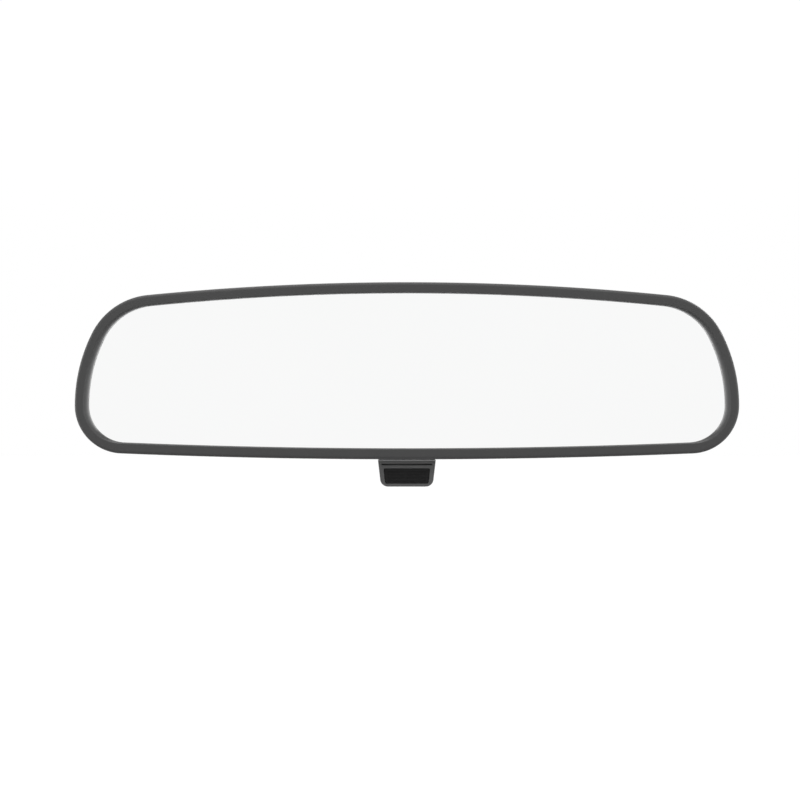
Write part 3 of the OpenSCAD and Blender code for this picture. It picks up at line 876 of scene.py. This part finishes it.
out_a = math.degrees(math.acos(mouth / tube_out))
in_a = math.degrees(math.acos(mouth / tube_in))
out_r = tube_out * math.sin(math.radians(out_a))
in_r = tube_in * math.sin(math.radians(in_a))
tube_path = [((in_r, -mouth), 0.25), ((out_r, -mouth), 0.55)]
tube_path += ball_arc(tube_out, out_a + 5, 90)
for h in (9.0, ARM - 9.0):
    for along, inset, r in ((-1.1, 0, 0.6), (-0.45, 0.4, 0.5), (0.45, 0.4, 0.5), (1.1, 0, 0.6)):
        tube_path.append(((tube_out - inset, h + along), r))
tube_path += ball_arc(tube_out, 90, out_a + 5, h0=ARM, sign=-1)
tube_path += [((out_r, ARM + mouth), 0.55), ((in_r, ARM + mouth), 0.25)]
tube_path += ball_arc(tube_in, in_a + 5, 90, h0=ARM, sign=-1)
tube_path += ball_arc(tube_in, 90, in_a + 5)
tube = lathe("tube_look", fillet(tube_path, True, 5), ball_1, (0, -1, 0), n=128)
dress(tube, "painted_tube", "arm", "arm_tube")


# ---- ball studs ----

NECK_R, HEX_FLATS = 2.5, 9.0


def direction(drop):
    """Towards the driver, dropping by an angle."""
    return np.array([0, -math.cos(math.radians(drop)), -math.sin(math.radians(drop))])


def stud_look(name, shank, at, axis):
    """Ball with a neck, and the rest of its shank as a path of (radius, height from the ball's centre)."""
    meet = math.asin(NECK_R / BALL)
    t = np.linspace(math.radians(179.5), meet + math.radians(2), 40)
    ball = [((BALL * math.sin(q), BALL * math.cos(q)), 0) for q in t]
    neck = [((NECK_R, BALL * math.cos(meet)), 0.5)]
    return lathe(name, fillet(ball + neck + shank, False, 4), at, axis, closed=False)


base_shank = [
    ((NECK_R, 9.9), 0.3),
    ((4.5, 9.9), 0.35),
    ((4.5, 11), 0.1),
    ((3.0, 11), 0),
    ((3.0, 16.6), 0.3),
    ((0, 16.6), 0),
]
stud_1 = stud_look("base_stud_look", base_shank, ball_1, -direction(BASE_LEAN))
dress(stud_1, "bright_steel", "windscreen_mount", "base_ball_stud")

mirror_shank = [
    ((NECK_R, 11), 1.0),
    ((3.6, 18), 0.3),
    ((4.4, 18.05), 0),
    ((4.4, 21.98), 0),
    ((2.5, 22), 0),
    ((2.5, 33.0), 0.2),
    ((2.2, 33.28), 0),
    ((0, 33.28), 0),
]
stud_2 = stud_look("mirror_stud_shaft", mirror_shank, ball_2, direction(HEAD_DROP))
w, u, v = frame_of(direction(HEAD_DROP))
turn = np.radians(60 * np.arange(6))
hexagon = round_poly(HEX_FLATS / math.sqrt(3) * np.stack([np.cos(turn), np.sin(turn)], 1), 0.25, 3)


def to_stud(p, h):
    """From the hexagon's plane to the mirror stud, at a height from the ball's centre."""
    return ball_2 + h * w + p[:, :1] * u + p[:, 1:] * v


nut_flange = prism("flange", hexagon, to_stud, 18, 22, edge=0.35)
stud_2 = join("mirror_stud_look", [stud_2, nut_flange])
dress(stud_2, "bright_steel", "carrier", "mirror_ball_stud")


# ---- windscreen mount ----

screen_cos, screen_sin = math.cos(math.radians(SCREEN)), math.sin(math.radians(SCREEN))
tilt = np.array([[1, 0, 0], [0, screen_cos, screen_sin], [0, -screen_sin, screen_cos]])


def on_screen(points):
    """From the windscreen's own frame to the row frame: local +Z goes out through the glass."""
    return np.asarray(points, float) @ tilt.T


# (width, length, corner radius, shift along the screen, depth) and rounding
base_path = fillet(
    [
        ((24, 35, 4, 0.5, -1.2), 0),
        ((30, 41, 6, 0.5, -1.2), 0.8),
        ((30, 41, 6, 0.5, -5.2), 2.4),
        ((23, 35.4, 7, 0.8, -12.4), 2.4),
        ((10, 20, 4, 0.8, -12.4), 0),
    ],
    False,
    7,
)
rings = []
for width, length, r, off, z in base_path:
    p = round_rect(width, length, r, 10)
    rings.append(on_screen(np.stack([p[:, 0], p[:, 1] + off, np.full(len(p), z)], 1)))
base = loft("base_look", rings)


BUTTON_L, BUTTON_HALF, BUTTON_T, TAPER = 32.0, 9.6, 4.6, 0.9


def wedge_ring(z, grow, more=0.0):
    """The wedge button's section at a depth, grown all round and lengthened downwards by more."""
    undercut = -z / BUTTON_T * TAPER
    top = BUTTON_HALF + grow + undercut
    low = top + TAPER + more * TAPER / BUTTON_L
    y0, y1 = -BUTTON_L / 2 - grow, BUTTON_L / 2 + more
    return on_screen([[-top, y0, z], [top, y0, z], [low, y1, z], [-low, y1, z]])


channel = [wedge_ring(z, grow, 14) for z, grow in ((0.5, 0.45), (-1.2, 0.45), (-1.55, 0.12), (-4.72, 0.12))]
base = cut(base, loft("channel", channel))
screw_at = on_screen([[0, 13.4, 0]])[0]
hole = [(0, -14), (3.1, -14), (3.1, -12.4), (2.53, -11.9), (2.53, -3), (0, -3)]
base = cut(base, lathe("hole", hole, screw_at, screen_n, closed=False, n=64))
boss = fillet(
    [((3.05, 10.98), 0.2), ((5.4, 10.98), 0.6), ((6.6, 14.0), 2.0), ((8.6, 17.2), 0), ((3.05, 17.2), 0)],
    True,
    5,
)
base = join("base_look", [base, lathe("boss", boss, ball_1, -direction(BASE_LEAN), n=96)])
dress(base, "painted_casting", "windscreen_mount", "mount_base")

button_path = [(0.0, -0.25), (-0.07, -0.07), (-0.25, 0.0), (-4.35, 0.0), (-4.53, -0.07), (-4.6, -0.25)]
button = loft("button_look", [wedge_ring(z, grow) for z, grow in button_path])
dress(button, "button_metal", "windscreen_mount", "mount_button")


# ---- stage: pale floor, soft light, the camera of the photograph ----

scene = bpy.context.scene
scene.view_settings.view_transform = "Standard"
scene.view_settings.look = "None"

# the floor, in metres: white far away, with a painted grey shadow pool under the mirror that its glass
# reflects
FLOOR_HALF, FLOOR_Z = 9, -0.34
corners = [(x * FLOOR_HALF, y * FLOOR_HALF, FLOOR_Z) for x, y in ((-1, -1), (1, -1), (1, 1), (-1, 1))]
floor_mesh = bpy.data.meshes.new("floor")
floor_mesh.from_pydata(corners, [], [(0, 1, 2, 3)])
floor = new_object("floor", floor_mesh)
look = Nodes("floor_painted_shadow")
offset = look.add("ShaderNodeVectorMath", operation="DISTANCE")
look.link(look.coord, offset.inputs[0])
offset.inputs[1].default_value = (0, -0.45, FLOOR_Z)
# painted shadow: the floor's colour darkens towards a spot under the mirror
shadow_pool = look.spread(offset.outputs["Value"], 0.0, 1.0, 0.45, 1.15)
shadow_pool.node.interpolation_type = "SMOOTHSTEP"
look.set(Base_Color=look.tint(shadow_pool, (0.37, 0.37, 0.375), (0.945, 0.945, 0.945)))
look.set(Roughness=look.spread(look.noise(9, 3), 0.9, 1.0))
floor.data.materials.append(look.mat)

world = bpy.data.worlds.new("studio")
scene.world = world
world.use_nodes = True
tree = world.node_tree
background = next(n for n in tree.nodes if n.type == "BACKGROUND")
coord = tree.nodes.new("ShaderNodeTexCoord")
parts = tree.nodes.new("ShaderNodeSeparateXYZ")
lift = tree.nodes.new("ShaderNodeMapRange")
tree.links.new(coord.outputs["Generated"], parts.inputs[0])
tree.links.new(parts.outputs["Z"], lift.inputs["Value"])
lift.inputs["From Min"].default_value, lift.inputs["From Max"].default_value = 0.1, 1.0
lift.inputs["To Min"].default_value, lift.inputs["To Max"].default_value = 1.0, 1.14
tree.links.new(lift.outputs["Result"], background.inputs["Strength"])
background.inputs["Color"].default_value = (1, 1, 1, 1)


def softbox(name, at, target, size, power):
    """Soft rectangular lamp aimed at a point; metres and watts."""
    data = bpy.data.lights.new(name, "AREA")
    data.shape, data.size, data.size_y, data.energy = "RECTANGLE", size[0], size[1], power
    lamp = bpy.data.objects.new(name, data)
    scene.collection.objects.link(lamp)
    lamp.location = at
    lamp.rotation_mode = "QUATERNION"
    lamp.rotation_quaternion = (Vector(target) - Vector(at)).to_track_quat("-Z", "Y")


middle = Vector(HEAD * MM)
softbox("side_left", (-1.5, -0.75, 0.1), middle, (0.5, 1.2), 9)
softbox("side_right", (1.5, -0.75, 0.1), middle, (0.5, 1.2), 9)
softbox("front_top", (0.0, -1.0, 1.5), middle, (1.8, 0.9), 14)
softbox("overhead", (-0.3, 0.35, 1.5), middle, (1.4, 1.1), 10)
softbox("rear_key", (1.3, 0.8, 0.9), middle, (0.9, 1.1), 24)
softbox("rear_fill", (-1.5, 0.6, -0.05), middle, (0.3, 1.0), 7)

cam_data = bpy.data.cameras.new("camera")
camera = bpy.data.objects.new("camera", cam_data)
scene.collection.objects.link(camera)
cam_data.sensor_width, cam_data.lens = 36.0, 80.0
CAMERA_X, CAMERA_BACK, CAMERA_UP = -2.62, 667.7, 2.05
camera.location = (CAMERA_X * MM, (HEAD[1] - CAMERA_BACK) * MM, (HEAD[2] + CAMERA_UP) * MM)
camera.rotation_euler = (math.radians(90), 0, 0)
cam_data.clip_start, cam_data.clip_end = 0.01, 100
scene.camera = camera
